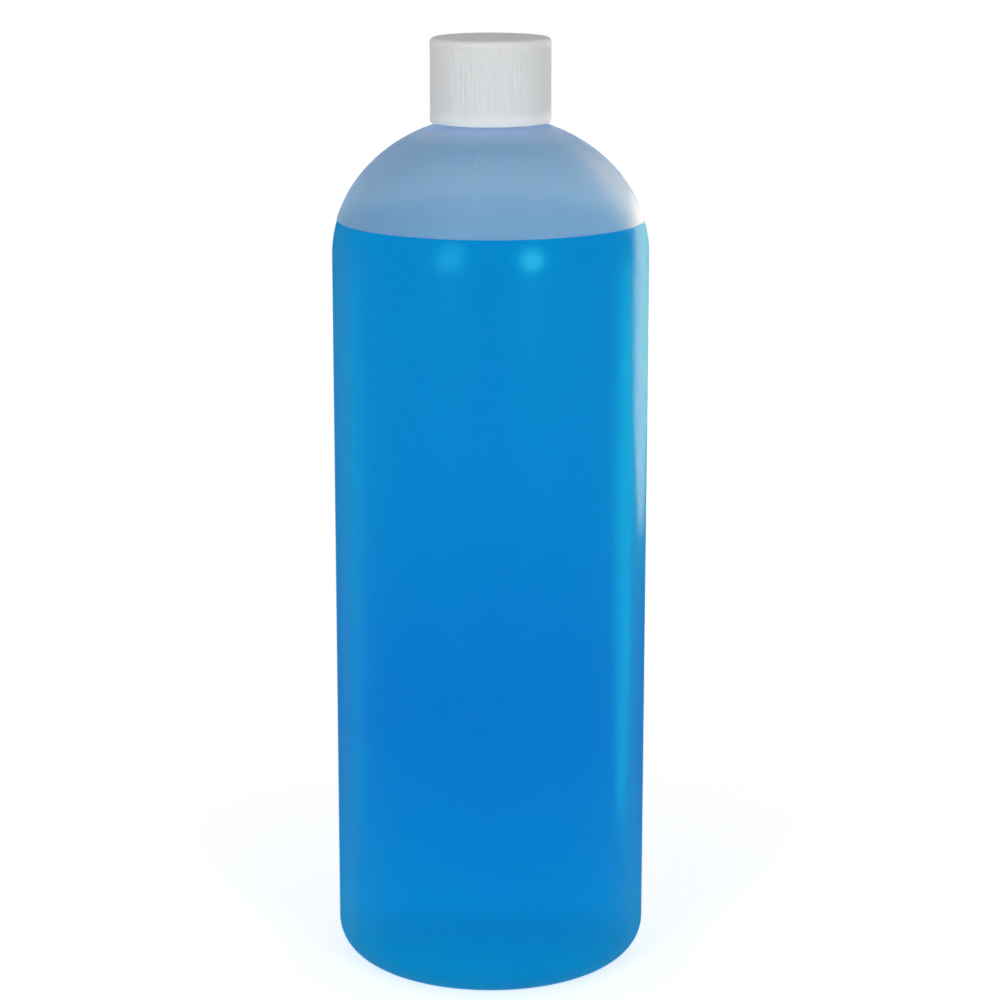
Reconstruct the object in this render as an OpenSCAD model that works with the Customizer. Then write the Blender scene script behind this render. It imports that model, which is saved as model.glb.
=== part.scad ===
// Round bottle with a domed shoulder: a blown body with a threaded neck, a ribbed screw cap, the cap's liner
// and the liquid inside. Millimetres, +Z up, origin on the floor at the middle of the base.

/* [Body] */
// Outside diameter of the body
body_d = 80; // [64:0.5:110]
// Height of the straight side, from the floor to the shoulder line
side_h = 184.3; // [120:0.1:240]
// Rise of the shoulder's ellipse above the shoulder line, taken at the axis
dome_h = 34.8; // [26:0.1:44]
// Radius of the heel between the side and the base
heel_r = 9; // [5:0.1:13]
// Wall of the blown body
wall = 0.9; // [0.6:0.05:1.5]

/* [Base] */
// Width of the flat ring that the bottle stands on
stand_w = 4; // [2:0.1:8]
// Rise of the push-up at the middle of the base
push_up_h = 4.5; // [3:0.1:8]
// Length of the pinch-off bead across the push-up
pinch_len = 40; // [20:1:46]
// Width of the pinch-off bead
pinch_w = 1.2; // [0.8:0.1:2]
// Height of the pinch-off bead
pinch_h = 0.4; // [0.2:0.1:0.6]
// Angle in degrees of the mould's parting plane, and so of the bead, from the front towards the left
parting_turn = 8.8; // [-90:0.1:90]

/* [Neck] */
// Diameter of the neck's wall under the thread
neck_d = 24.8; // [20:0.1:32]
// Wall of the neck under the thread
neck_wall = 1.7; // [1.4:0.1:3]
// Height of the neck, from the shoulder to the lip
neck_h = 18.4; // [15:0.1:26]
// Round of the lip's outer edge
lip_r = 0.5; // [0.3:0.1:0.8]
// Height and width of the cone that joins the neck to the shoulder
neck_root = 1; // [0.6:0.1:1.4]

/* [Thread] */
// Rise of the thread in one turn
pitch = 4.233; // [3.6:0.001:5]
// Turns of thread, with both ends that fade out
turns = 1.5; // [1:0.25:2]
// Depth of the neck's thread
thread_depth = 1.2; // [0.9:0.05:1.5]
// Width of a thread's crest
crest_w = 0.9; // [0.6:0.05:1.2]
// Width of the neck's thread at its foot inside the wall
foot_w = 2.6; // [2.2:0.05:2.9]
// Drop from the lip to the top edge of the thread
thread_drop = 1.3; // [0.8:0.1:3]

/* [Cap] */
// Wall of the skirt under the ribs
skirt_wall = 0.95; // [0.8:0.05:2]
// Thickness of the cap's top
cap_top_t = 1.6; // [1.2:0.1:2.5]
// Round of the cap's top edge
cap_edge_r = 1.3; // [0.8:0.1:1.5]
// Number of grip ribs round the skirt
rib_count = 104; // [60:1:130]
// Depth of the grip ribs
rib_depth = 0.35; // [0.2:0.05:0.5]
// Height of the plain band at the rim
band_h = 2; // [1:0.1:4]
// Height of the smooth band between the ribs and the rounded edge
collar_h = 0.5; // [0.3:0.1:1.5]
// Gap between the rim and the shoulder under it
rim_gap = 1.1; // [0.6:0.1:2.5]
// Thickness of the liner disc
liner_t = 1; // [0.6:0.1:2]

/* [Fill] */
// Height of the liquid's level above the shoulder line, or below it if negative
fill_rise = 9.1; // [-60:0.1:20]

/* [Hidden] */
$fn = 128;

// Clearances
crest_gap = 0.3;   // from a cap thread's crest to the neck's wall
bore_gap = 0.2;    // from a neck thread's crest to the cap's bore
flank_gap = 0.2;   // between the flanks that carry the cap
liner_gap = 0.3;   // round the liner's edge
face_gap = 0.02;   // between the liner's faces and the lip and the cap
fill_gap = 0.05;   // between the liquid and the wall
rib_inset = 0.05;  // from the ribs' crests to the bands above and below them
bite = 0.4;        // how deep a thread's foot or a rib's foot goes into its wall
overrun = 1;       // how far a cut runs past what it cuts

// Shares
thread_fade_share = 0.2;          // of a turn, at each end of a thread
rib_valley_share = 0.3;           // of the rib pitch
rib_crest_share = 0.3;            // of the rib pitch
rim_bevel_share = 0.6;            // of the skirt's wall
thread_steps = 36;                // flat steps in one turn of thread

// Body
body_r = body_d / 2;
stand_r = body_r - heel_r - stand_w;
push_up_r = (stand_r * stand_r + push_up_h * push_up_h) / (2 * push_up_h);
push_up_z = push_up_h - push_up_r;

// Neck, from the shoulder up to the lip
neck_r = neck_d / 2;
bore_r = neck_r - neck_wall;
neck_z = shoulder_z(neck_r);
lip_z = neck_z + neck_h;
thread_r = neck_r + thread_depth;

// Cap, from the lip outwards and upwards
cap_bore_r = thread_r + bore_gap;
rib_root_r = cap_bore_r + skirt_wall;
cap_r = rib_root_r + rib_depth + rib_inset;
liner_r = cap_bore_r - liner_gap;
liner_z = lip_z + face_gap;
ceiling_z = liner_z + liner_t + face_gap;
cap_top_z = ceiling_z + cap_top_t;
rim_z = shoulder_z(cap_r) + rim_gap;
band_top_z = rim_z + band_h;
collar_z = cap_top_z - cap_edge_r - collar_h;
rim_bevel = skirt_wall * rim_bevel_share;

// Threads: both have the same flank, so the gap between them is even
flank_slope = (foot_w - crest_w) / 2 / (thread_depth + bite);
cap_crest_r = neck_r + crest_gap;
cap_foot_w = crest_w + 2 * flank_slope * (cap_bore_r + bite - cap_crest_r);
neck_thread_z = lip_z - thread_drop - foot_w / 2 - turns * pitch;
thread_offset = crest_w + flank_slope * (thread_r - cap_crest_r) + flank_gap;
cap_thread_z = neck_thread_z - thread_offset;

// Liquid
fill_z = side_h + fill_rise;

// Height of the shoulder's outside at a radius
function shoulder_z(r) = side_h + dome_h * sqrt(1 - pow(r / body_r, 2));

// Share of a thread's full depth at a share s of its length: a smooth rise and fall at the ends
function thread_fade(s) =
    let (end = thread_fade_share / turns, t = min(1, min(s, 1 - s) / end))
    t * t * (3 - 2 * t);

// Half section of a body that has a rounded heel and a domed shoulder: r wide, from the floor z up, with a dome
// that rises by rise over the shoulder line
module body_section(r, floor_z, heel, rise) {
    translate([0, floor_z]) square([r - heel, side_h - floor_z]);
    translate([0, heel_r]) square([r, side_h - heel_r]);
    intersection() {
        translate([r - heel, heel_r]) circle(heel);
        translate([0, floor_z]) square([r, heel_r]);
    }
    intersection() {
        translate([0, side_h]) scale([1, rise / r]) circle(r);
        translate([0, side_h - overrun]) square([r + overrun, rise + 2 * overrun]);
    }
}

// Half section of the outside, without the push-up
module outside_section() {
    body_section(body_r, 0, heel_r, dome_h);
    translate([0, side_h]) square([neck_r, lip_z - lip_r - side_h]);
    translate([0, lip_z - lip_r - overrun]) square([neck_r - lip_r, lip_r + overrun]);
    translate([neck_r - lip_r, lip_z - lip_r]) circle(lip_r);
    polygon([
        [0, neck_z + neck_root],
        [neck_r, neck_z + neck_root],
        [neck_r + 2 * neck_root, neck_z - neck_root],
        [neck_r + 2 * neck_root, side_h],
        [0, side_h],
    ]);
}

// Half section of the space inside, drawn in by a gap all round; the neck's bore is open at the lip
module inside_section(gap) {
    inset = wall + gap;
    difference() {
        body_section(body_r - inset, inset, heel_r - inset, dome_h - inset);
        translate([0, push_up_z]) circle(push_up_r + inset);
    }
    translate([0, side_h]) square([bore_r - gap, lip_z + overrun - side_h]);
}

// Bead that the closing mould leaves across the push-up
module pinch_bead() {
    intersection() {
        rotate_extrude() intersection() {
            translate([0, push_up_z]) difference() {
                circle(push_up_r + wall / 2);
                circle(push_up_r - pinch_h);
            }
            square([stand_r, push_up_h + wall]);
        }
        rotate(-parting_turn)
            translate([-pinch_w / 2, -pinch_len / 2, 0]) cube([pinch_w, pinch_len, push_up_h + wall]);
    }
}

// One thread on a helix that rises to the left of an upright axis, with its foot in the wall at root_r and its
// crest at crest_r, inside or outside that wall
module thread(root_r, crest_r, foot, start_z) {
    out = sign(crest_r - root_r);
    foot_r = root_r - out * bite;
    low_r = root_r - out * bite / 2;
    steps = round(turns * thread_steps);
    ring = 4;
    points = [
        for (i = [0 : steps])
            let (
                a = 360 * turns * i / steps,
                z = start_z + pitch * turns * i / steps,
                r = low_r + (crest_r - low_r) * thread_fade(i / steps)
            )
            each [
                for (p = [[foot_r, -foot / 2], [r, -crest_w / 2], [r, crest_w / 2], [foot_r, foot / 2]])
                    [p[0] * cos(a), p[0] * sin(a), z + p[1]]
            ]
    ];
    sides = [
        for (i = [0 : steps - 1], j = [0 : ring - 1])
            let (a = i * ring + j, b = i * ring + (j + 1) % ring)
            each [[a, a + ring, b], [b, a + ring, b + ring]]
    ];
    last = steps * ring;
    ends = [[0, 1, 2], [0, 2, 3], [last, last + 2, last + 1], [last, last + 3, last + 2]];
    faces = out < 0 ? concat(sides, ends) : [for (f = concat(sides, ends)) [f[0], f[2], f[1]]];
    polyhedron(points, faces);
}

// Outline of the ribbed skirt, seen from above
module rib_outline() {
    crest_r = cap_r - rib_inset;
    step = 360 / rib_count;
    flank = (1 - rib_valley_share - rib_crest_share) / 2;
    marks = [
        [rib_root_r, 0],
        [crest_r, flank],
        [crest_r, flank + rib_crest_share],
        [rib_root_r, 2 * flank + rib_crest_share],
    ];
    polygon([
        for (i = [0 : rib_count - 1], m = marks)
            let (a = step * (i + m[1]))
            [m[0] * cos(a), m[0] * sin(a)]
    ]);
}

// Half section of the cap's outside, with the bands above and below the ribs
module cap_section() {
    core_r = rib_root_r - bite / 2;
    translate([0, rim_z]) square([core_r, cap_top_z - cap_edge_r - rim_z]);
    translate([0, rim_z]) square([cap_r, band_h]);
    translate([0, collar_z]) square([cap_r, collar_h]);
    translate([0, cap_top_z - cap_edge_r]) square([cap_r - cap_edge_r, cap_edge_r]);
    translate([cap_r - cap_edge_r, cap_top_z - cap_edge_r]) circle(cap_edge_r);
}

// Half section of the cap's inside, with a bevel that leads the neck in
module cap_bore_section() {
    translate([0, rim_z - overrun]) square([cap_bore_r, ceiling_z - rim_z + overrun]);
    polygon([
        [0, rim_z - overrun],
        [cap_bore_r + rim_bevel + overrun, rim_z - overrun],
        [cap_bore_r, rim_z + rim_bevel],
        [0, rim_z + rim_bevel],
    ]);
}

// Blown bottle: one wall from the base to the lip, with the neck's thread
module bottle() {
    color("lightsteelblue", 0.5) {
        difference() {
            rotate_extrude() difference() {
                outside_section();
                translate([0, push_up_z]) circle(push_up_r);
            }
            rotate_extrude() inside_section(0);
        }
        thread(neck_r, thread_r, foot_w, neck_thread_z);
        pinch_bead();
    }
}

// Liquid that fills the bottle to its level
module liquid() {
    color("dodgerblue", 0.8) rotate_extrude() intersection() {
        inside_section(fill_gap);
        square([body_r, fill_z]);
    }
}

// Foam disc between the lip and the cap's top
module cap_liner() {
    color("whitesmoke") translate([0, 0, liner_z]) cylinder(h = liner_t, r = liner_r);
}

// Moulded cap with grip ribs and an inside thread
module screw_cap() {
    color("white") {
        difference() {
            union() {
                rotate_extrude() cap_section();
                translate([0, 0, band_top_z - bite])
                    linear_extrude(collar_z - band_top_z + 2 * bite) rib_outline();
            }
            rotate_extrude() cap_bore_section();
        }
        thread(cap_bore_r, cap_crest_r, cap_foot_w, cap_thread_z);
    }
}

bottle();
liquid();
cap_liner();
screw_cap();
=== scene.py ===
"""Round bottle of natural plastic with blue liquid and a white ribbed screw cap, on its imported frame."""

import math

import bmesh
import bpy
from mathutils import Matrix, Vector


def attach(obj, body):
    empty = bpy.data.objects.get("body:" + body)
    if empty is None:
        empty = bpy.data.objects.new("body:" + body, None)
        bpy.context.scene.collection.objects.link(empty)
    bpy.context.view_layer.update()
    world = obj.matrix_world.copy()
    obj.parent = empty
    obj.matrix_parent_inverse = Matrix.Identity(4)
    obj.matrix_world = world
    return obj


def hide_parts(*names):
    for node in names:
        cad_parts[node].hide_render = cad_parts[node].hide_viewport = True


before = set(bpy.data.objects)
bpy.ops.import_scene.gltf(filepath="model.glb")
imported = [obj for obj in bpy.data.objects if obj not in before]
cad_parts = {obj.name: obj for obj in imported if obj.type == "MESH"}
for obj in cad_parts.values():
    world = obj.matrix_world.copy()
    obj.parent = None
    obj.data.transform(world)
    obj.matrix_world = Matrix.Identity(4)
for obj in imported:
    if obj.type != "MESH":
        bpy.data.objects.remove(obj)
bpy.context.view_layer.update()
scene = bpy.context.scene

MM = 0.001
TOUCH = 1e-6
FULL_TURN = 2 * math.pi
ANGLE_DIGITS = 7

# Sizes of the part, the same as in its source: millimetres, degrees and turns
BODY_R = 40.0
SIDE_H = 184.3
DOME_H = 34.8
HEEL_R = 9.0
WALL = 0.9
STAND_W = 4.0
PUSH_UP_H = 4.5
PINCH_LEN = 40.0
PINCH_W = 1.2
PINCH_H = 0.4
PARTING_TURN = 8.8
NECK_R = 12.4
BORE_R = 10.7
NECK_H = 18.4
LIP_R = 0.5
PITCH = 4.233
TURNS = 1.5
THREAD_DEPTH = 1.2
CREST_W = 0.9
FOOT_W = 2.6
BITE = 0.4
THREAD_DROP = 1.3
THREAD_FADE = 0.2
BORE_GAP = 0.2
CREST_GAP = 0.3
FLANK_GAP = 0.2
SKIRT_WALL = 0.95
CAP_TOP_T = 1.6
CAP_EDGE_R = 1.3
RIB_COUNT = 104
RIB_DEPTH = 0.35
RIB_INSET = 0.05
BAND_H = 2.0
RIM_GAP = 1.1
LINER_T = 1.0
LINER_GAP = 0.3
FACE_GAP = 0.02
FILL_RISE = 9.1

# Fine forms that the solids draw plainer or leave out, in millimetres and shares. A wet wall bends light
# so that the liquid seems to reach the outside, so it is drawn that thin.
WET_WALL = 0.16
DRY_STEP = 0.6
LIQUID_GAP = 0.04
FILLET_R = 1.6
LIP_INNER_R = 0.3
FOOT_ROLL_W = 3.6
FOOT_ROLL = 0.35
PINCH_EDGE = 0.84
PINCH_END = 1.5
NECK_PLAIN = 1.2
FLANK_ROUND = 0.4
SEAM_SIDE_H = 0.02
SEAM_DOME_H = 0.15
SEAM_W = 0.25
SEAM_RISE = 4.0
SEAM_LEAD = 1.2
SEAM_FOOT_Z = 2.7
SEAM_FOOT_FADE = 4.5
SEAM_NECK_FADE = 4.0
LINER_ROUND = 0.2
PRINT_DEPTH = 0.06
PRINT_MARGIN = 0.2
PRINT_EDGE = 0.3
COLLAR_SHOWN = 0.2
RIB_DRAWN = 0.203
RIB_FADE = 1.3
RIM_BEVEL = 0.57
RIM_ROUND = 0.25
CEILING_CLEAR = 0.5

# How finely the meshes are divided
PUSH_UP_RINGS = 44
RING_SPREAD = 1.35
HEEL_RINGS = 18
SIDE_RINGS = 24
LEVEL_RINGS = 8
BOTTLE_COLUMNS = 192
LINER_COLUMNS = 128
RIB_STEPS = 6
FILLET_HALVINGS = 60
SEAM_OFFSETS = (0.0, 0.12, 0.24, 0.4, 0.65)


def shoulder_z(r):
    """Height of the shoulder's outside at a radius."""
    return SIDE_H + DOME_H * math.sqrt(1 - (r / BODY_R) ** 2)


# Places that follow from the sizes
STAND_R = BODY_R - HEEL_R - STAND_W
PUSH_UP_R = (STAND_R ** 2 + PUSH_UP_H ** 2) / (2 * PUSH_UP_H)
PUSH_UP_Z = PUSH_UP_H - PUSH_UP_R
NECK_Z = shoulder_z(NECK_R)
LIP_Z = NECK_Z + NECK_H
THREAD_R = NECK_R + THREAD_DEPTH
CAP_BORE_R = THREAD_R + BORE_GAP
RIB_ROOT_R = CAP_BORE_R + SKIRT_WALL
CAP_R = RIB_ROOT_R + RIB_DEPTH + RIB_INSET
LINER_R = CAP_BORE_R - LINER_GAP
LINER_Z = LIP_Z + FACE_GAP
LINER_TOP_Z = LINER_Z + LINER_T
CEILING_Z = LINER_TOP_Z + FACE_GAP
CAP_TOP_Z = CEILING_Z + CAP_TOP_T
RIM_Z = shoulder_z(CAP_R) + RIM_GAP
BAND_TOP_Z = RIM_Z + BAND_H
RIB_TOP_Z = CAP_TOP_Z - CAP_EDGE_R - COLLAR_SHOWN
FLANK_SLOPE = (FOOT_W - CREST_W) / 2 / (THREAD_DEPTH + BITE)
CAP_CREST_R = NECK_R + CREST_GAP
NECK_THREAD_Z = LIP_Z - THREAD_DROP - FOOT_W / 2 - TURNS * PITCH
THREAD_OFFSET = CREST_W + FLANK_SLOPE * (THREAD_R - CAP_CREST_R) + FLANK_GAP
CAP_THREAD_Z = NECK_THREAD_Z - THREAD_OFFSET
FILL_Z = SIDE_H + FILL_RISE
PARTING_ANGLE = math.radians(-90 - PARTING_TURN)


def smooth(t):
    """Smooth step from 0 to 1."""
    t = min(1.0, max(0.0, t))
    return t * t * (3 - 2 * t)


def arc(cx, cz, rx, rz, start, end, steps):
    """Points (r, z) on an ellipse's arc, from one angle to another in degrees, both ends included."""
    out = []
    for i in range(steps + 1):
        a = math.radians(start + (end - start) * i / steps)
        out.append((cx + rx * math.cos(a), cz + rz * math.sin(a)))
    return out


def line(a, b, steps):
    """Points from a to b in even steps, both ends included."""
    out = []
    for i in range(steps + 1):
        share = i / steps
        out.append((a[0] + (b[0] - a[0]) * share, a[1] + (b[1] - a[1]) * share))
    return out


def join(*runs):
    """Runs of points as one, without the points that repeat where they meet."""
    out = []
    for run in runs:
        for p in run:
            if not out or abs(p[0] - out[-1][0]) + abs(p[1] - out[-1][1]) > TOUCH:
                out.append(p)
    return out


def signed_angle(angle):
    """An angle brought to the half turn on either side of 0."""
    return (angle + math.pi) % FULL_TURN - math.pi


def columns(count, seam_offsets=()):
    """Angles round the axis, with extra ones close to both parting lines.

    The offsets are in millimetres at the side.
    """
    angles = {round(FULL_TURN * i / count, ANGLE_DIGITS) for i in range(count)}
    keep_off = max(seam_offsets, default=0) / BODY_R
    for side in (0, math.pi):
        centre = PARTING_ANGLE + side
        angles = {a for a in angles if abs(signed_angle(a - centre)) > keep_off}
        for off in seam_offsets:
            for sign in (-1, 1):
                angles.add(round((centre + sign * off / BODY_R) % FULL_TURN, ANGLE_DIGITS))
    return sorted(angles)


def lathe(name, profile, angles, shape, zones=None):
    """A closed mesh turned from a profile whose two ends lie on the axis.

    shape(r, z, angle, i) gives the point's own r and z, and zones(i) the material index of the faces
    after point i.
    """
    bm = bmesh.new()
    rings = []
    for i, (r, z) in enumerate(profile):
        ring = []
        for a in angles if r > TOUCH else (0.0,):
            own_r, own_z = shape(r, z, a, i)
            ring.append(bm.verts.new((own_r * math.cos(a) * MM, own_r * math.sin(a) * MM, own_z * MM)))
        rings.append(ring)
    count = len(angles)
    for i in range(len(rings) - 1):
        lower = rings[i]
        upper = rings[i + 1]
        for j in range(count):
            k = (j + 1) % count
            if len(lower) == 1:
                corners = (lower[0], upper[k], upper[j])
            elif len(upper) == 1:
                corners = (lower[j], lower[k], upper[0])
            else:
                corners = (lower[j], lower[k], upper[k], upper[j])
            face = bm.faces.new(corners)
            face.smooth = True
            if zones:
                face.material_index = zones(i)
    bmesh.ops.recalc_face_normals(bm, faces=bm.faces)
    mesh = bpy.data.meshes.new(name)
    bm.to_mesh(mesh)
    bm.free()
    obj = bpy.data.objects.new(name, mesh)
    scene.collection.objects.link(obj)
    return obj


def thread_height(z, angle, start_z):
    """Share of the thread's depth at a place, for a right-hand thread that starts low at angle 0."""
    half_crest = CREST_W / 2
    half_foot = half_crest + FLANK_SLOPE * THREAD_DEPTH
    best = 0.0
    for turn in range(int(TURNS) + 1):
        s = (angle / FULL_TURN + turn) / TURNS
        d = abs(z - start_z - PITCH * TURNS * s)
        if s > 1 or d >= half_foot:
            continue
        fade = smooth(min(s, 1 - s) * TURNS / THREAD_FADE)
        flank = min(1.0, (half_foot - d) / (half_foot - half_crest))
        best = max(best, fade * ((1 - FLANK_ROUND) * flank + FLANK_ROUND * smooth(flank)))
    return best


# Camera: the photograph's viewpoint, from the fitted perspective
CAMERA_TILT = 13.297
camera_data = bpy.data.cameras.new("camera")
camera_data.lens = 107.41
camera_data.sensor_width = 36.0
camera_data.shift_x = 0.0093
camera_data.clip_start = 0.01
camera = bpy.data.objects.new("camera", camera_data)
camera.location = (0.0, -0.74392, 0.296625)
camera.rotation_euler = (math.radians(90 - CAMERA_TILT), 0.0, 0.0)
scene.collection.objects.link(camera)
scene.camera = camera


def neck_fillet(a, b, wall_r, radius):
    """The circle that touches an upright wall and the shoulder's ellipse from outside.

    Gives its centre's height, the ellipse's angle where it touches and the normal's angle there, in degrees.
    """
    low, high = 45.0, 89.0
    for _ in range(FILLET_HALVINGS):
        middle = (low + high) / 2
        t = math.radians(middle)
        nx = math.cos(t) / a
        nz = math.sin(t) / b
        size = math.hypot(nx, nz)
        if a * math.cos(t) + radius * nx / size > wall_r + radius:
            low = middle
        else:
            high = middle
    z = SIDE_H + b * math.sin(t) + radius * nz / size
    return z, math.degrees(t), math.degrees(math.atan2(nz, nx))


def push_up_run(radius, edge_r, floor_z):
    """The push-up from the axis out to its edge, which rolls into the standing ring."""
    out = []
    for i in range(PUSH_UP_RINGS + 1):
        r = edge_r * (i / PUSH_UP_RINGS) ** RING_SPREAD
        z = PUSH_UP_Z + math.sqrt(radius ** 2 - r ** 2)
        blend = smooth((r - edge_r + FOOT_ROLL_W) / FOOT_ROLL_W)
        rolled = z + (floor_z - z) * FOOT_ROLL * blend
        out.append((r, max(rolled, floor_z) if blend < 1 else floor_z))
    return out


def push_up_edge(lift):
    """Radius at which the push-up, raised by a wall's thickness, meets the floor raised by the same."""
    return math.sqrt((PUSH_UP_R + lift) ** 2 - (lift - PUSH_UP_Z) ** 2)


def level_angle(dome, height=FILL_RISE):
    """Angle on a shoulder's ellipse, in degrees, at a height above its foot, by default the liquid's."""
    return math.degrees(math.asin(height / dome))


# Bottle: one wall from the middle of the base, up the outside, over the lip and down the inside
fillet_z, fillet_t, fillet_n = neck_fillet(BODY_R, DOME_H, NECK_R, FILLET_R)
heel_x = BODY_R - HEEL_R
inner_r = BODY_R - WALL
inner_dome = DOME_H - WALL
inner_bore_t = math.degrees(math.acos(BORE_R / inner_r))
inner_bore_z = SIDE_H + inner_dome * math.sin(math.radians(inner_bore_t))
wet_r = BODY_R - WET_WALL
wet_dome = DOME_H - WET_WALL
wet_heel_r = HEEL_R - WET_WALL
wet_edge_r = push_up_edge(WET_WALL)
wet_level_t = level_angle(wet_dome)
dry_level_t = level_angle(inner_dome, FILL_RISE + DRY_STEP)
lip_inner_x = BORE_R + LIP_INNER_R
lip_inner_z = LIP_Z - LIP_INNER_R

outside = join(
    push_up_run(PUSH_UP_R, STAND_R, 0.0),
    line((STAND_R, 0.0), (heel_x, 0.0), steps=3),
    arc(heel_x, HEEL_R, HEEL_R, HEEL_R, -90, 0, HEEL_RINGS),
    line((BODY_R, HEEL_R), (BODY_R, SIDE_H), SIDE_RINGS),
    arc(0, SIDE_H, BODY_R, DOME_H, 0, level_angle(DOME_H), LEVEL_RINGS),
)
wet_end = len(outside) - 1
outside = join(
    outside,
    arc(0, SIDE_H, BODY_R, DOME_H, level_angle(DOME_H), fillet_t, steps=26),
    arc(NECK_R + FILLET_R, fillet_z, FILLET_R, FILLET_R, 180 + fillet_n, 180, steps=8),
    line((NECK_R, fillet_z), (NECK_R, LIP_Z - LIP_R), steps=84),
    arc(NECK_R - LIP_R, LIP_Z - LIP_R, LIP_R, LIP_R, 0, 90, steps=5),
    line((NECK_R - LIP_R, LIP_Z), (lip_inner_x, LIP_Z), steps=2),
)
lip_end = len(outside) - 1
dry_inside = join(
    outside,
    arc(lip_inner_x, lip_inner_z, LIP_INNER_R, LIP_INNER_R, 90, 180, steps=4),
    line((BORE_R, lip_inner_z), (BORE_R, inner_bore_z), steps=10),
    arc(0, SIDE_H, inner_r, inner_dome, inner_bore_t, dry_level_t, steps=22),
)
dry_end = len(dry_inside)
bottle_profile = join(
    dry_inside,
    arc(0, SIDE_H, wet_r, wet_dome, wet_level_t, 0, LEVEL_RINGS),
    line((wet_r, SIDE_H), (wet_r, HEEL_R), SIDE_RINGS),
    arc(heel_x, HEEL_R, wet_heel_r, wet_heel_r, 0, -90, HEEL_RINGS),
    line((heel_x, WET_WALL), (wet_edge_r, WET_WALL), steps=2),
    reversed(push_up_run(PUSH_UP_R + WET_WALL, wet_edge_r, WET_WALL)),
)


def seam_ridge(r, z, angle):
    """Height of the parting line's fine ridge at a place. It stands out most on the shoulder."""
    best = 0.0
    for side in (0, math.pi):
        d = signed_angle(angle - PARTING_ANGLE - side)
        best = max(best, math.exp(-(d * r / SEAM_W) ** 2))
    on_dome = smooth((z - FILL_Z + SEAM_LEAD) / SEAM_RISE)
    return (SEAM_SIDE_H + (SEAM_DOME_H - SEAM_SIDE_H) * on_dome) * best


def bead_shape(r, z, angle):
    """The base with the pinch-off bead along the parting line."""
    if r >= STAND_R:
        return r, z
    across = abs(r * math.sin(angle - PARTING_ANGLE))
    along = abs(r * math.cos(angle - PARTING_ANGLE))
    bead = smooth((PINCH_W - across) / PINCH_EDGE) * smooth((PINCH_LEN / 2 - along) / PINCH_END)
    return r, z - PINCH_H * bead


def bottle_shape(r, z, angle, i):
    """The bottle's own detail: the neck's thread, the parting line and the pinch-off bead."""
    inner = i > lip_end
    if inner and z > HEEL_R:
        return r, z
    if z > NECK_Z + NECK_PLAIN and abs(r - NECK_R) < TOUCH:
        return r + THREAD_DEPTH * thread_height(z, angle, NECK_THREAD_Z), z
    if r < STAND_R and z < HEEL_R:
        return bead_shape(r, z, angle)
    if inner or z < SEAM_FOOT_Z or r < NECK_R + FILLET_R:
        return r, z
    fade = smooth((z - SEAM_FOOT_Z) / SEAM_FOOT_FADE) * smooth((r - NECK_R - FILLET_R) / SEAM_NECK_FADE)
    return r + seam_ridge(r, z, angle) * fade, z


WET = 0
DRY = 1
LINED = 2


def bottle_zone(i):
    """Material index of the wall after profile point i: wet below the level, dry above it, and lined where
    the inside is wet."""
    if i < wet_end:
        return WET
    return DRY if i < dry_end else LINED


seam_columns = columns(BOTTLE_COLUMNS, SEAM_OFFSETS)
bottle = lathe("bottle_shell", bottle_profile, seam_columns, bottle_shape, bottle_zone)
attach(bottle, "bottle")
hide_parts("bottle")

# Liquid: fills the inside up to its level
liquid_r = wet_r - LIQUID_GAP
liquid_dome = wet_dome - LIQUID_GAP
liquid_floor = WET_WALL + LIQUID_GAP
liquid_heel_r = HEEL_R - liquid_floor
liquid_edge_r = push_up_edge(liquid_floor)
level_t = level_angle(liquid_dome)
level_r = liquid_r * math.cos(math.radians(level_t))
liquid_side = join(
    push_up_run(PUSH_UP_R + liquid_floor, liquid_edge_r, liquid_floor),
    line((liquid_edge_r, liquid_floor), (heel_x, liquid_floor), steps=2),
    arc(heel_x, HEEL_R, liquid_heel_r, liquid_heel_r, -90, 0, HEEL_RINGS),
    line((liquid_r, HEEL_R), (liquid_r, SIDE_H), SIDE_RINGS),
    arc(0, SIDE_H, liquid_r, liquid_dome, 0, level_t, steps=10),
)
level_start = len(liquid_side) - 1
liquid_profile = join(liquid_side, line((level_r, FILL_Z), (0.0, FILL_Z), steps=16))


def liquid_shape(r, z, angle, i):
    """The liquid over the pinch-off bead."""
    return bead_shape(r, z, angle) if z < HEEL_R else (r, z)


def liquid_zone(i):
    """Material index of the liquid after profile point i: 1 on its open top."""
    return int(i >= level_start)


liquid = lathe("liquid_fill", liquid_profile, seam_columns, liquid_shape, liquid_zone)
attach(liquid, "bottle")
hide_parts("liquid")

# Liner: a foam disc with soft edges and the ring that the lip presses into it
liner_flat_r = LINER_R - LINER_ROUND
liner_profile = join(
    line((0.0, LINER_Z), (liner_flat_r, LINER_Z), steps=40),
    arc(liner_flat_r, LINER_Z + LINER_ROUND, LINER_ROUND, LINER_ROUND, -90, 0, steps=4),
    arc(liner_flat_r, LINER_TOP_Z - LINER_ROUND, LINER_ROUND, LINER_ROUND, 0, 90, steps=4),
    line((liner_flat_r, LINER_TOP_Z), (0.0, LINER_TOP_Z), steps=6),
)


def liner_shape(r, z, angle, i):
    """The lip's shallow print on the underside."""
    if z >= LINER_Z + LINER_ROUND / 2:
        return r, z
    inner_edge = smooth((r - BORE_R + PRINT_MARGIN) / PRINT_EDGE)
    outer_edge = smooth((NECK_R + PRINT_MARGIN - r) / PRINT_EDGE)
    return r, z + PRINT_DEPTH * inner_edge * outer_edge


liner = lathe("liner_disc", liner_profile, columns(LINER_COLUMNS), liner_shape)
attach(liner, "liner")
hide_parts("cap_liner")

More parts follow.
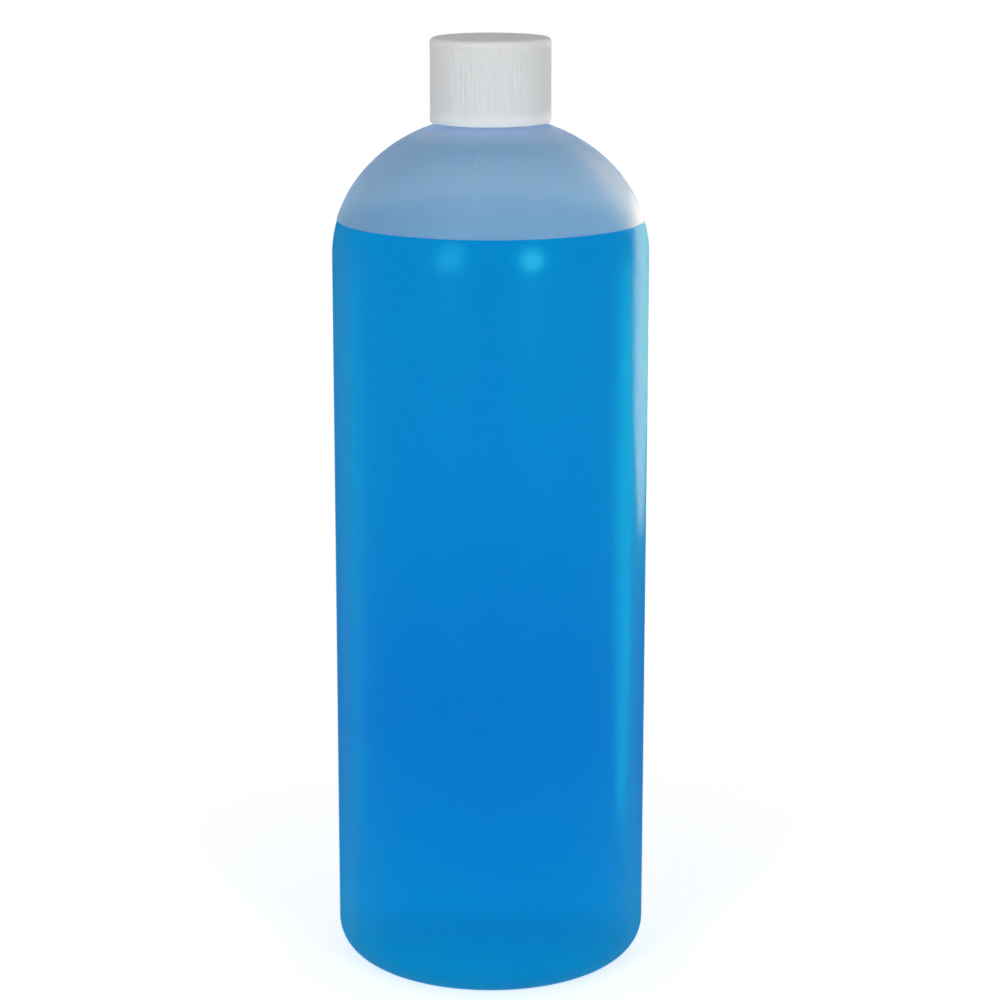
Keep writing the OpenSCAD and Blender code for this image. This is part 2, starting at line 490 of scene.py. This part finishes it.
# Cap: top, rounded edge, ribbed skirt, plain band, rim, and the thread inside
cap_flat_r = CAP_R - CAP_EDGE_R
cap_edge_z = CAP_TOP_Z - CAP_EDGE_R
cap_rim_r = CAP_R - RIM_ROUND
cap_outer = join(
    line((0.0, CAP_TOP_Z), (cap_flat_r, CAP_TOP_Z), steps=14),
    arc(cap_flat_r, cap_edge_z, CAP_EDGE_R, CAP_EDGE_R, 90, 0, steps=8),
    line((CAP_R, cap_edge_z), (CAP_R, RIB_TOP_Z), steps=2),
    line((CAP_R, RIB_TOP_Z), (CAP_R, RIB_TOP_Z - RIB_FADE), steps=6),
    line((CAP_R, RIB_TOP_Z - RIB_FADE), (CAP_R, BAND_TOP_Z + RIB_FADE), steps=6),
    line((CAP_R, BAND_TOP_Z + RIB_FADE), (CAP_R, BAND_TOP_Z), steps=6),
    line((CAP_R, BAND_TOP_Z), (CAP_R, RIM_Z + RIM_ROUND), steps=2),
    arc(cap_rim_r, RIM_Z + RIM_ROUND, RIM_ROUND, RIM_ROUND, 0, -90, steps=4),
)
cap_outer_end = len(cap_outer) - 1
cap_profile = join(
    cap_outer,
    line((cap_rim_r, RIM_Z), (CAP_BORE_R + RIM_BEVEL, RIM_Z), steps=1),
    line((CAP_BORE_R + RIM_BEVEL, RIM_Z), (CAP_BORE_R, RIM_Z + RIM_BEVEL), steps=2),
    line((CAP_BORE_R, RIM_Z + RIM_BEVEL), (CAP_BORE_R, CEILING_Z), steps=64),
    line((CAP_BORE_R, CEILING_Z), (0.0, CEILING_Z), steps=4),
)


def cap_shape(r, z, angle, i):
    """Grip ribs outside and the thread inside."""
    if i <= cap_outer_end and abs(r - CAP_R) < TOUCH and BAND_TOP_Z < z < RIB_TOP_Z:
        valley = 0.5 - 0.5 * math.cos(angle * RIB_COUNT)
        ends = smooth((RIB_TOP_Z - z) / RIB_FADE) * smooth((z - BAND_TOP_Z) / RIB_FADE)
        return r - (RIB_INSET + RIB_DRAWN * valley) * ends, z
    if i > cap_outer_end and abs(r - CAP_BORE_R) < TOUCH and z < CEILING_Z - CEILING_CLEAR:
        return r - (CAP_BORE_R - CAP_CREST_R) * thread_height(z, angle, CAP_THREAD_Z), z
    return r, z


rib_points = RIB_COUNT * RIB_STEPS
rib_columns = [FULL_TURN * i / rib_points for i in range(rib_points)]
cap = lathe("cap_shell", cap_profile, rib_columns, cap_shape)
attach(cap, "cap")
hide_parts("screw_cap")


# Sockets of the Mix node that have the same names: for numbers, and for colours
NUMBER_A = 2
NUMBER_B = 3
COLOUR_A = 6
COLOUR_B = 7
COLOUR_RESULT = 2


# Node helpers
def put(tree, slot, value):
    """Sets a node's input to a plain value, or links it to another node's output."""
    if isinstance(value, bpy.types.NodeSocket):
        tree.links.new(value, slot)
    else:
        slot.default_value = value


def add(tree, kind, **values):
    """A new node with its named inputs set or linked."""
    node = tree.nodes.new(kind)
    for key, value in values.items():
        put(tree, node.inputs[key.replace("_", " ")], value)
    return node


def calculate(tree, operation, *values):
    """The output of a math node on plain numbers and other outputs."""
    node = tree.nodes.new("ShaderNodeMath")
    node.operation = operation
    for slot, value in zip(node.inputs, values):
        put(tree, slot, value)
    return node.outputs[0]


def mix_shaders(tree, share, first, second):
    """Two shaders mixed, with a share of the second."""
    node = tree.nodes.new("ShaderNodeMixShader")
    for slot, value in zip(node.inputs, (share, first, second)):
        put(tree, slot, value)
    return node.outputs[0]


def mix_colours(tree, blend, share, first, second):
    """Two colours mixed, with a share of the second."""
    node = tree.nodes.new("ShaderNodeMix")
    node.data_type = "RGBA"
    node.blend_type = blend
    for index, value in ((0, share), (COLOUR_A, first), (COLOUR_B, second)):
        put(tree, node.inputs[index], value)
    return node.outputs[COLOUR_RESULT]


def ramp(tree, value, *stops):
    """A colour that follows a value through stops of position and colour, in order."""
    node = add(tree, "ShaderNodeValToRGB", Fac=value)
    elements = node.color_ramp.elements
    elements[0].position = stops[0][0]
    elements[1].position = stops[-1][0]
    elements[0].color = stops[0][1]
    elements[1].color = stops[-1][1]
    for position, colour in stops[1:-1]:
        elements.new(position).color = colour
    return node.outputs["Color"]


def fine_noise(tree, scale, detail=2.0):
    """A noise in the object's own coordinates."""
    coords = tree.nodes.new("ShaderNodeTexCoord")
    noise = add(tree, "ShaderNodeTexNoise", Vector=coords.outputs["Object"], Scale=scale, Detail=detail)
    return noise.outputs["Fac"]


def bump(tree, height, strength, distance):
    """The normal of a surface with a fine relief."""
    return add(tree, "ShaderNodeBump", Height=height, Strength=strength, Distance=distance).outputs["Normal"]


def axis_share(tree, axis, low, high, soft=False):
    """A value that rises from 0 at one place on the object's axis to 1 at another, in millimetres."""
    coords = tree.nodes.new("ShaderNodeTexCoord")
    split = add(tree, "ShaderNodeSeparateXYZ", Vector=coords.outputs["Object"])
    share = add(tree, "ShaderNodeMapRange", Value=split.outputs[axis], From_Min=low * MM, From_Max=high * MM)
    if soft:
        share.interpolation_type = "SMOOTHSTEP"
    return share.outputs["Result"]


def material(name):
    """A new node material, its tree and its output node."""
    mat = bpy.data.materials.new(name)
    mat.use_nodes = True
    tree = mat.node_tree
    tree.nodes.clear()
    return mat, tree, tree.nodes.new("ShaderNodeOutputMaterial")


# Materials
PLASTIC_GRAIN = 2200.0
GRAIN_STRENGTH = 0.2
GRAIN_DEPTH = 0.00015
GLOSS_IOR = 1.32
GLOSS_LIMIT = 0.12
CORE_ROUGHNESS = 0.13
HAZE_SHARE = 0.5
# The dry wall's colour is greyer towards -X, up to this place.
GREYER_SIDE_END_X = -0.2 * BODY_R
SIDE_UNEVEN = 0.6
PAINTED_LIGHT_TOP_Z = NECK_Z + 1.0
MILK_SCATTER = 0.4
FINISH_FROM_Z = NECK_Z - 2.6
FINISH_TO_Z = NECK_Z - 0.4
FINISH_GLOW = 0.75
LIQUID_DRIFT = 0.2
LIQUID_SCATTER = 0.6
PAINTED_BAND_LIGHT_FROM_Z = BAND_TOP_Z + 1.5
PAINTED_BAND_LIGHT_TO_Z = BAND_TOP_Z - 0.5


def outside_gloss(tree, under, normal, core, haze, haze_roughness):
    """A soft gloss over a shader, on outer faces only: a clear core and a wide haze, limited at edges."""
    shine = add(tree, "ShaderNodeBsdfGlossy", Color=core, Roughness=CORE_ROUGHNESS, Normal=normal)
    spread = add(tree, "ShaderNodeBsdfGlossy", Color=haze, Roughness=haze_roughness, Normal=normal)
    both = mix_shaders(tree, HAZE_SHARE, shine.outputs[0], spread.outputs[0])
    fresnel = add(tree, "ShaderNodeFresnel", IOR=GLOSS_IOR)
    faces = tree.nodes.new("ShaderNodeNewGeometry")
    outer = calculate(tree, "SUBTRACT", 1.0, faces.outputs["Backfacing"])
    share = calculate(tree, "MULTIPLY", fresnel.outputs[0], outer)
    return mix_shaders(tree, calculate(tree, "MINIMUM", share, GLOSS_LIMIT), under, both)


def wet_plastic():
    """Natural plastic with liquid behind it: nearly clear, with a faint haze painted with the
    liquid's blue light, and a soft gloss on the outside whose wide haze is painted cyan with the same light."""
    mat, tree, out = material("bottle_plastic_wet")
    grain = fine_noise(tree, PLASTIC_GRAIN)
    normal = bump(tree, grain, GRAIN_STRENGTH, GRAIN_DEPTH)
    # The base colour is painted blue light from the liquid.
    body = add(
        tree,
        "ShaderNodeBsdfPrincipled",
        Base_Color=ramp(tree, grain, (0.0, (0.002, 0.26, 0.66, 1)), (1.0, (0.004, 0.34, 0.72, 1))),
        Normal=normal,
        Roughness=0.45,
        IOR=1.5,
        Alpha=0.06,
        Specular_IOR_Level=0.0,
    )
    core = (0.264, 0.228, 0.192, 1)
    # The wide haze's cyan colour is painted light from the liquid.
    haze = (0.0, 0.36, 0.33, 1)
    surface = outside_gloss(tree, body.outputs[0], normal, core, haze, haze_roughness=0.32)
    put(tree, out.inputs["Surface"], surface)
    return mat


def lined_plastic():
    """The wall's inner face where the liquid wets it: all but invisible."""
    mat, tree, out = material("bottle_plastic_lined")
    grain = fine_noise(tree, PLASTIC_GRAIN)
    # Its faint blue base colour is painted light from the liquid.
    body = add(
        tree,
        "ShaderNodeBsdfPrincipled",
        Base_Color=ramp(tree, grain, (0.0, (0.010, 0.26, 0.66, 1)), (1.0, (0.016, 0.34, 0.72, 1))),
        Roughness=0.6,
        Alpha=0.02,
        Specular_IOR_Level=0.0,
    )
    put(tree, out.inputs["Surface"], body.outputs[0])
    return mat


def milky_wall(tree, grain, normal):
    """The dry wall below the neck: milky, so that part of the light scatters on its way through. Its colour
    paints light by height: a light line at the level, the liquid's blue light above it, darker higher up and
    light again below the neck. It also varies a little from one side to the other."""
    uneven = add(tree, "ShaderNodeMix", Factor=SIDE_UNEVEN)
    put(tree, uneven.inputs[NUMBER_A], grain)
    put(tree, uneven.inputs[NUMBER_B], axis_share(tree, "X", -BODY_R, GREYER_SIDE_END_X))
    clouds = ramp(tree, uneven.outputs[0], (0.0, (0.80, 0.82, 0.86, 1)), (1.0, (1.0, 1.0, 1.0, 1)))
    # Painted light by height: a light line at the level, the liquid's blue light, darker higher up, light
    # below the neck.
    painted_liquid_light = ramp(
        tree,
        axis_share(tree, "Z", FILL_Z, PAINTED_LIGHT_TOP_Z),
        (0.0, (0.86, 0.96, 0.98, 1)),
        (0.025, (0.745, 0.935, 0.955, 1)),
        (0.27, (0.75, 0.90, 0.935, 1)),
        (0.50, (0.68, 0.81, 0.877, 1)),
        (0.80, (0.607, 0.763, 0.827, 1)),
        (0.92, (0.95, 0.97, 0.98, 1)),
    )
    colour = mix_colours(tree, "MULTIPLY", 1.0, clouds, painted_liquid_light)
    clear = add(
        tree,
        "ShaderNodeBsdfPrincipled",
        Base_Color=colour,
        Normal=normal,
        Roughness=0.5,
        IOR=1.09,
        Transmission_Weight=0.95,
        Specular_IOR_Level=0.0,
    )
    scatter = add(tree, "ShaderNodeBsdfTranslucent", Color=colour)
    return mix_shaders(tree, MILK_SCATTER, clear.outputs[0], scatter.outputs[0])


def white_finish(tree, normal):
    """The neck's thick wall, which is white and lets light glow through."""
    white = add(
        tree,
        "ShaderNodeBsdfPrincipled",
        Base_Color=(0.93, 0.96, 0.96, 1),
        Normal=normal,
        Roughness=0.4,
        IOR=1.5,
        Subsurface_Weight=1.0,
        Subsurface_Radius=(1.0, 1.0, 1.0),
        Subsurface_Scale=0.004,
    )
    glow = add(tree, "ShaderNodeBsdfTranslucent", Color=(0.98, 0.99, 0.99, 1))
    return mix_shaders(tree, FINISH_GLOW, white.outputs[0], glow.outputs[0])


def dry_plastic():
    """Natural plastic with air behind it: milky on the shoulder and white in the thread's finish."""
    mat, tree, out = material("bottle_plastic_dry")
    grain = fine_noise(tree, PLASTIC_GRAIN)
    normal = bump(tree, grain, GRAIN_STRENGTH, GRAIN_DEPTH)
    core = (0.16, 0.135, 0.11, 1)
    haze = (0.75, 0.64, 0.55, 1)
    shoulder = outside_gloss(tree, milky_wall(tree, grain, normal), normal, core, haze, haze_roughness=0.42)
    finish = axis_share(tree, "Z", FINISH_FROM_Z, FINISH_TO_Z, soft=True)
    put(tree, out.inputs["Surface"], mix_shaders(tree, finish, shoulder, white_finish(tree, normal)))
    return mat


def blue_liquid(open_top):
    """Dyed liquid: it takes the red, some of the green and little of the blue out of the light on its way
    through. Its open top mirrors what is above it at a flat angle."""
    mat, tree, out = material("blue_liquid_top" if open_top else "blue_liquid")
    cloud = fine_noise(tree, scale=18.0, detail=1.0)
    cloud_and_painted_light = calculate(tree, "MULTIPLY_ADD", cloud, LIQUID_DRIFT, axis_share(tree, "Z", 0.0, FILL_Z))
    # The colour paints light by height, with a little random cloud: lighter at the bottom, darkest a little
    # below the middle and lighter again towards the level.
    colour = ramp(
        tree,
        cloud_and_painted_light,
        (0.0, (0.003, 0.69, 0.80, 1)),
        (0.2, (0.003, 0.57, 0.785, 1)),
        (0.45, (0.003, 0.50, 0.775, 1)),
        (0.75, (0.003, 0.58, 0.79, 1)),
        (1.0, (0.003, 0.605, 0.795, 1)),
    )
    through = add(tree, "ShaderNodeBsdfRefraction", Color=colour, Roughness=0.5, IOR=1.2)
    scatter = add(tree, "ShaderNodeBsdfTranslucent", Color=colour)
    surface = mix_shaders(tree, LIQUID_SCATTER, through.outputs[0], scatter.outputs[0])
    if open_top:
        mirror = add(tree, "ShaderNodeBsdfGlossy", Color=(0.9, 0.95, 1.0, 1), Roughness=0.05)
        fresnel = add(tree, "ShaderNodeFresnel", IOR=1.33)
        surface = mix_shaders(tree, fresnel.outputs[0], surface, mirror.outputs[0])
    dye = add(tree, "ShaderNodeVolumeAbsorption", Color=(0.4, 0.945, 0.995, 1), Density=100.0)
    put(tree, out.inputs["Surface"], surface)
    put(tree, out.inputs["Volume"], dye.outputs[0])
    return mat


def white_plastic():
    """Moulded white plastic with a fine matt texture, with painted light that makes the band at the rim a
    little lighter.
    """
    mat, tree, out = material("cap_plastic")
    grain = fine_noise(tree, scale=2500.0, detail=3.0)
    skirt = ramp(tree, grain, (0.0, (0.785, 0.778, 0.772, 1)), (1.0, (0.815, 0.808, 0.802, 1)))
    # Painted light: the band at the rim is lighter.
    painted_band_light = axis_share(tree, "Z", PAINTED_BAND_LIGHT_FROM_Z, PAINTED_BAND_LIGHT_TO_Z)
    body = add(
        tree,
        "ShaderNodeBsdfPrincipled",
        Base_Color=mix_colours(tree, "MIX", painted_band_light, skirt, (0.855, 0.845, 0.835, 1)),
        Normal=bump(tree, grain, strength=0.15, distance=0.0001),
        Roughness=0.65,
        IOR=1.49,
        Subsurface_Weight=1.0,
        Subsurface_Radius=(1.0, 0.95, 0.9),
        Subsurface_Scale=0.002,
        Specular_IOR_Level=0.08,
    )
    put(tree, out.inputs["Surface"], body.outputs[0])
    return mat


def foam():
    """White closed-cell foam."""
    mat, tree, out = material("liner_foam")
    cells = fine_noise(tree, scale=1800.0, detail=4.0)
    body = add(
        tree,
        "ShaderNodeBsdfPrincipled",
        Base_Color=ramp(tree, cells, (0.0, (0.78, 0.78, 0.76, 1)), (1.0, (0.88, 0.88, 0.87, 1))),
        Normal=bump(tree, cells, strength=0.4, distance=0.0002),
        Roughness=0.8,
    )
    put(tree, out.inputs["Surface"], body.outputs[0])
    return mat


bottle.data.materials.append(wet_plastic())
bottle.data.materials.append(dry_plastic())
bottle.data.materials.append(lined_plastic())
liquid.data.materials.append(blue_liquid(open_top=False))
liquid.data.materials.append(blue_liquid(open_top=True))
cap.data.materials.append(white_plastic())
liner.data.materials.append(foam())

# Floor, in metres: its own light is dimmer near the object, a painted shade, and white far off; it keeps the
# shadow
FLOOR_HALF = 3.0
FLOOR_DROP = 0.0001
GLOW_FROM = 0.1
GLOW_TO = 0.5
GLOW_NEAR = 0.65
GLOW_FAR = 0.76
GLOW_REFLECTED = 0.95
floor_corners = [(x * FLOOR_HALF, y * FLOOR_HALF, 0) for x, y in ((-1, -1), (1, -1), (1, 1), (-1, 1))]
floor_mesh = bpy.data.meshes.new("floor")
floor_mesh.from_pydata(floor_corners, [], [(0, 1, 2, 3)])
floor = bpy.data.objects.new("floor", floor_mesh)
scene.collection.objects.link(floor)
floor.location.z = -FLOOR_DROP


def pale_floor():
    """White floor: its own light to the camera, in gloss and through the plastic, and a plain surface that
    takes the shadow. It can be looked through from below, so that the bottle's base shows there."""
    mat, tree, out = material("floor")
    plain = add(tree, "ShaderNodeBsdfDiffuse", Color=(0.75, 0.75, 0.75, 1))
    coords = tree.nodes.new("ShaderNodeTexCoord")
    reach = tree.nodes.new("ShaderNodeVectorMath")
    reach.operation = "LENGTH"
    put(tree, reach.inputs[0], coords.outputs["Object"])
    # Painted shade: the floor's own light is dimmer near the object and rises away from it.
    glow_with_painted_shade = add(
        tree,
        "ShaderNodeMapRange",
        Value=reach.outputs["Value"],
        From_Min=GLOW_FROM,
        From_Max=GLOW_TO,
        To_Min=GLOW_NEAR,
        To_Max=GLOW_FAR,
    )
    path = tree.nodes.new("ShaderNodeLightPath")
    to_camera = calculate(tree, "MULTIPLY", path.outputs["Is Camera Ray"], glow_with_painted_shade.outputs["Result"])
    mirrored = calculate(tree, "MAXIMUM", path.outputs["Is Glossy Ray"], path.outputs["Is Transmission Ray"])
    strength = calculate(tree, "MULTIPLY_ADD", mirrored, GLOW_REFLECTED, to_camera)
    glow = add(tree, "ShaderNodeEmission", Color=(1, 1, 1, 1), Strength=strength)
    both = tree.nodes.new("ShaderNodeAddShader")
    put(tree, both.inputs[0], plain.outputs[0])
    put(tree, both.inputs[1], glow.outputs[0])
    faces = tree.nodes.new("ShaderNodeNewGeometry")
    clear = tree.nodes.new("ShaderNodeBsdfTransparent")
    surface = mix_shaders(tree, faces.outputs["Backfacing"], both.outputs[0], clear.outputs[0])
    put(tree, out.inputs["Surface"], surface)
    return mat


floor.data.materials.append(pale_floor())

# World: white where it is looked at, softer as a lamp
SKY_HORIZON = 0.6
SKY_ZENITH = 0.3


def white_world():
    """A world that is white to the camera, in gloss and through the plastic, and a soft lamp otherwise."""
    world = bpy.data.worlds.new("world")
    world.use_nodes = True
    tree = world.node_tree
    tree.nodes.clear()
    out = tree.nodes.new("ShaderNodeOutputWorld")
    coords = tree.nodes.new("ShaderNodeTexCoord")
    split = add(tree, "ShaderNodeSeparateXYZ", Vector=coords.outputs["Generated"])
    sky = add(tree, "ShaderNodeMapRange", Value=split.outputs["Z"], To_Min=SKY_HORIZON, To_Max=SKY_ZENITH)
    as_lamp = add(tree, "ShaderNodeBackground", Color=(1, 1, 1, 1), Strength=sky.outputs["Result"])
    looked_at = add(tree, "ShaderNodeBackground", Color=(1, 1, 1, 1), Strength=1.0)
    path = tree.nodes.new("ShaderNodeLightPath")
    direct = calculate(tree, "MAXIMUM", path.outputs["Is Camera Ray"], path.outputs["Is Glossy Ray"])
    direct = calculate(tree, "MAXIMUM", direct, path.outputs["Is Transmission Ray"])
    put(tree, out.inputs["Surface"], mix_shaders(tree, direct, as_lamp.outputs[0], looked_at.outputs[0]))
    return world


scene.world = white_world()


def lamp_panel(name, place, aim, size, power, colour):
    """An oval lamp at a place, turned to a point, which the picture itself doesn't show."""
    data = bpy.data.lights.new(name, "AREA")
    data.shape = "ELLIPSE"
    data.size = size[0]
    data.size_y = size[1]
    data.energy = power
    data.color = colour
    lamp = bpy.data.objects.new(name, data)
    lamp.location = place
    lamp.rotation_euler = (Vector(aim) - Vector(place)).to_track_quat("-Z", "Y").to_euler()
    lamp.visible_camera = False
    scene.collection.objects.link(lamp)
    return lamp


def fill_lamp(name, place, aim, size, power):
    """A white lamp that lights surfaces and doesn't show in their gloss."""
    lamp_panel(name, place, aim, size, power, (1, 1, 1)).visible_glossy = False


def shine_lamp(name, place, aim, size, power, colour, soft=False):
    """A lamp that only shows in gloss, bright all over or falling off softly from its middle."""
    lamp = lamp_panel(name, place, aim, size, power, colour)
    lamp.visible_diffuse = False
    lamp.visible_transmission = False
    if not soft:
        return
    lamp.data.use_nodes = True
    tree = lamp.data.node_tree
    spot = tree.nodes.new("ShaderNodeNewGeometry")
    reach = tree.nodes.new("ShaderNodeVectorMath")
    reach.operation = "DISTANCE"
    put(tree, reach.inputs[0], spot.outputs["Parametric"])
    put(tree, reach.inputs[1], (0.5, 0.5, 0.0))
    fall = add(tree, "ShaderNodeMapRange", Value=reach.outputs["Value"], From_Min=0.5, From_Max=0.0)
    fall.interpolation_type = "SMOOTHSTEP"
    put(tree, tree.nodes["Emission"].inputs["Strength"], fall.outputs["Result"])


# Lamps, in metres and watts: two soft ones in front, and those that draw the gloss on the plastic
COOL = (0.10, 1.0, 0.90)
WARM = (1.0, 0.78, 0.60)
AQUA = (0.0, 1.0, 0.88)
MIDDLE = (0, 0, 0.19)
fill_lamp("fill_left", (-0.5355, -0.966, 0.40), MIDDLE, (0.30, 0.40), 3.1)
fill_lamp("fill_right", (0.5355, -0.966, 0.40), MIDDLE, (0.30, 0.40), 2.95)
shine_lamp("shine_left", (-0.5355, -0.966, 0.34), MIDDLE, (0.62, 0.75), 50.0, COOL, soft=True)
shine_lamp("shine_right", (0.5355, -0.966, 0.31), MIDDLE, (0.45, 0.58), 72.0, COOL, soft=True)
shine_lamp("shine_side", (0.231, 0.276, 0.135), (0, 0, 0.135), (0.26, 0.21), 2.1, WARM)
shine_lamp("shine_dome", (0.42, 0.37, 0.40), (0, 0, 0.2), (0.40, 0.40), 2.0, WARM)
shine_lamp("shine_edge", (0.145, 0.026, 0.085), (0.034, -0.02, 0.085), (0.05, 0.19), 0.24, AQUA)
shine_lamp("shine_rim", (-0.145, 0.026, 0.085), (-0.034, -0.02, 0.085), (0.05, 0.19), 0.07, AQUA)

scene.view_settings.view_transform = "Standard"
scene.cycles.max_bounces = 14
scene.cycles.transmission_bounces = 14
scene.cycles.transparent_max_bounces = 16
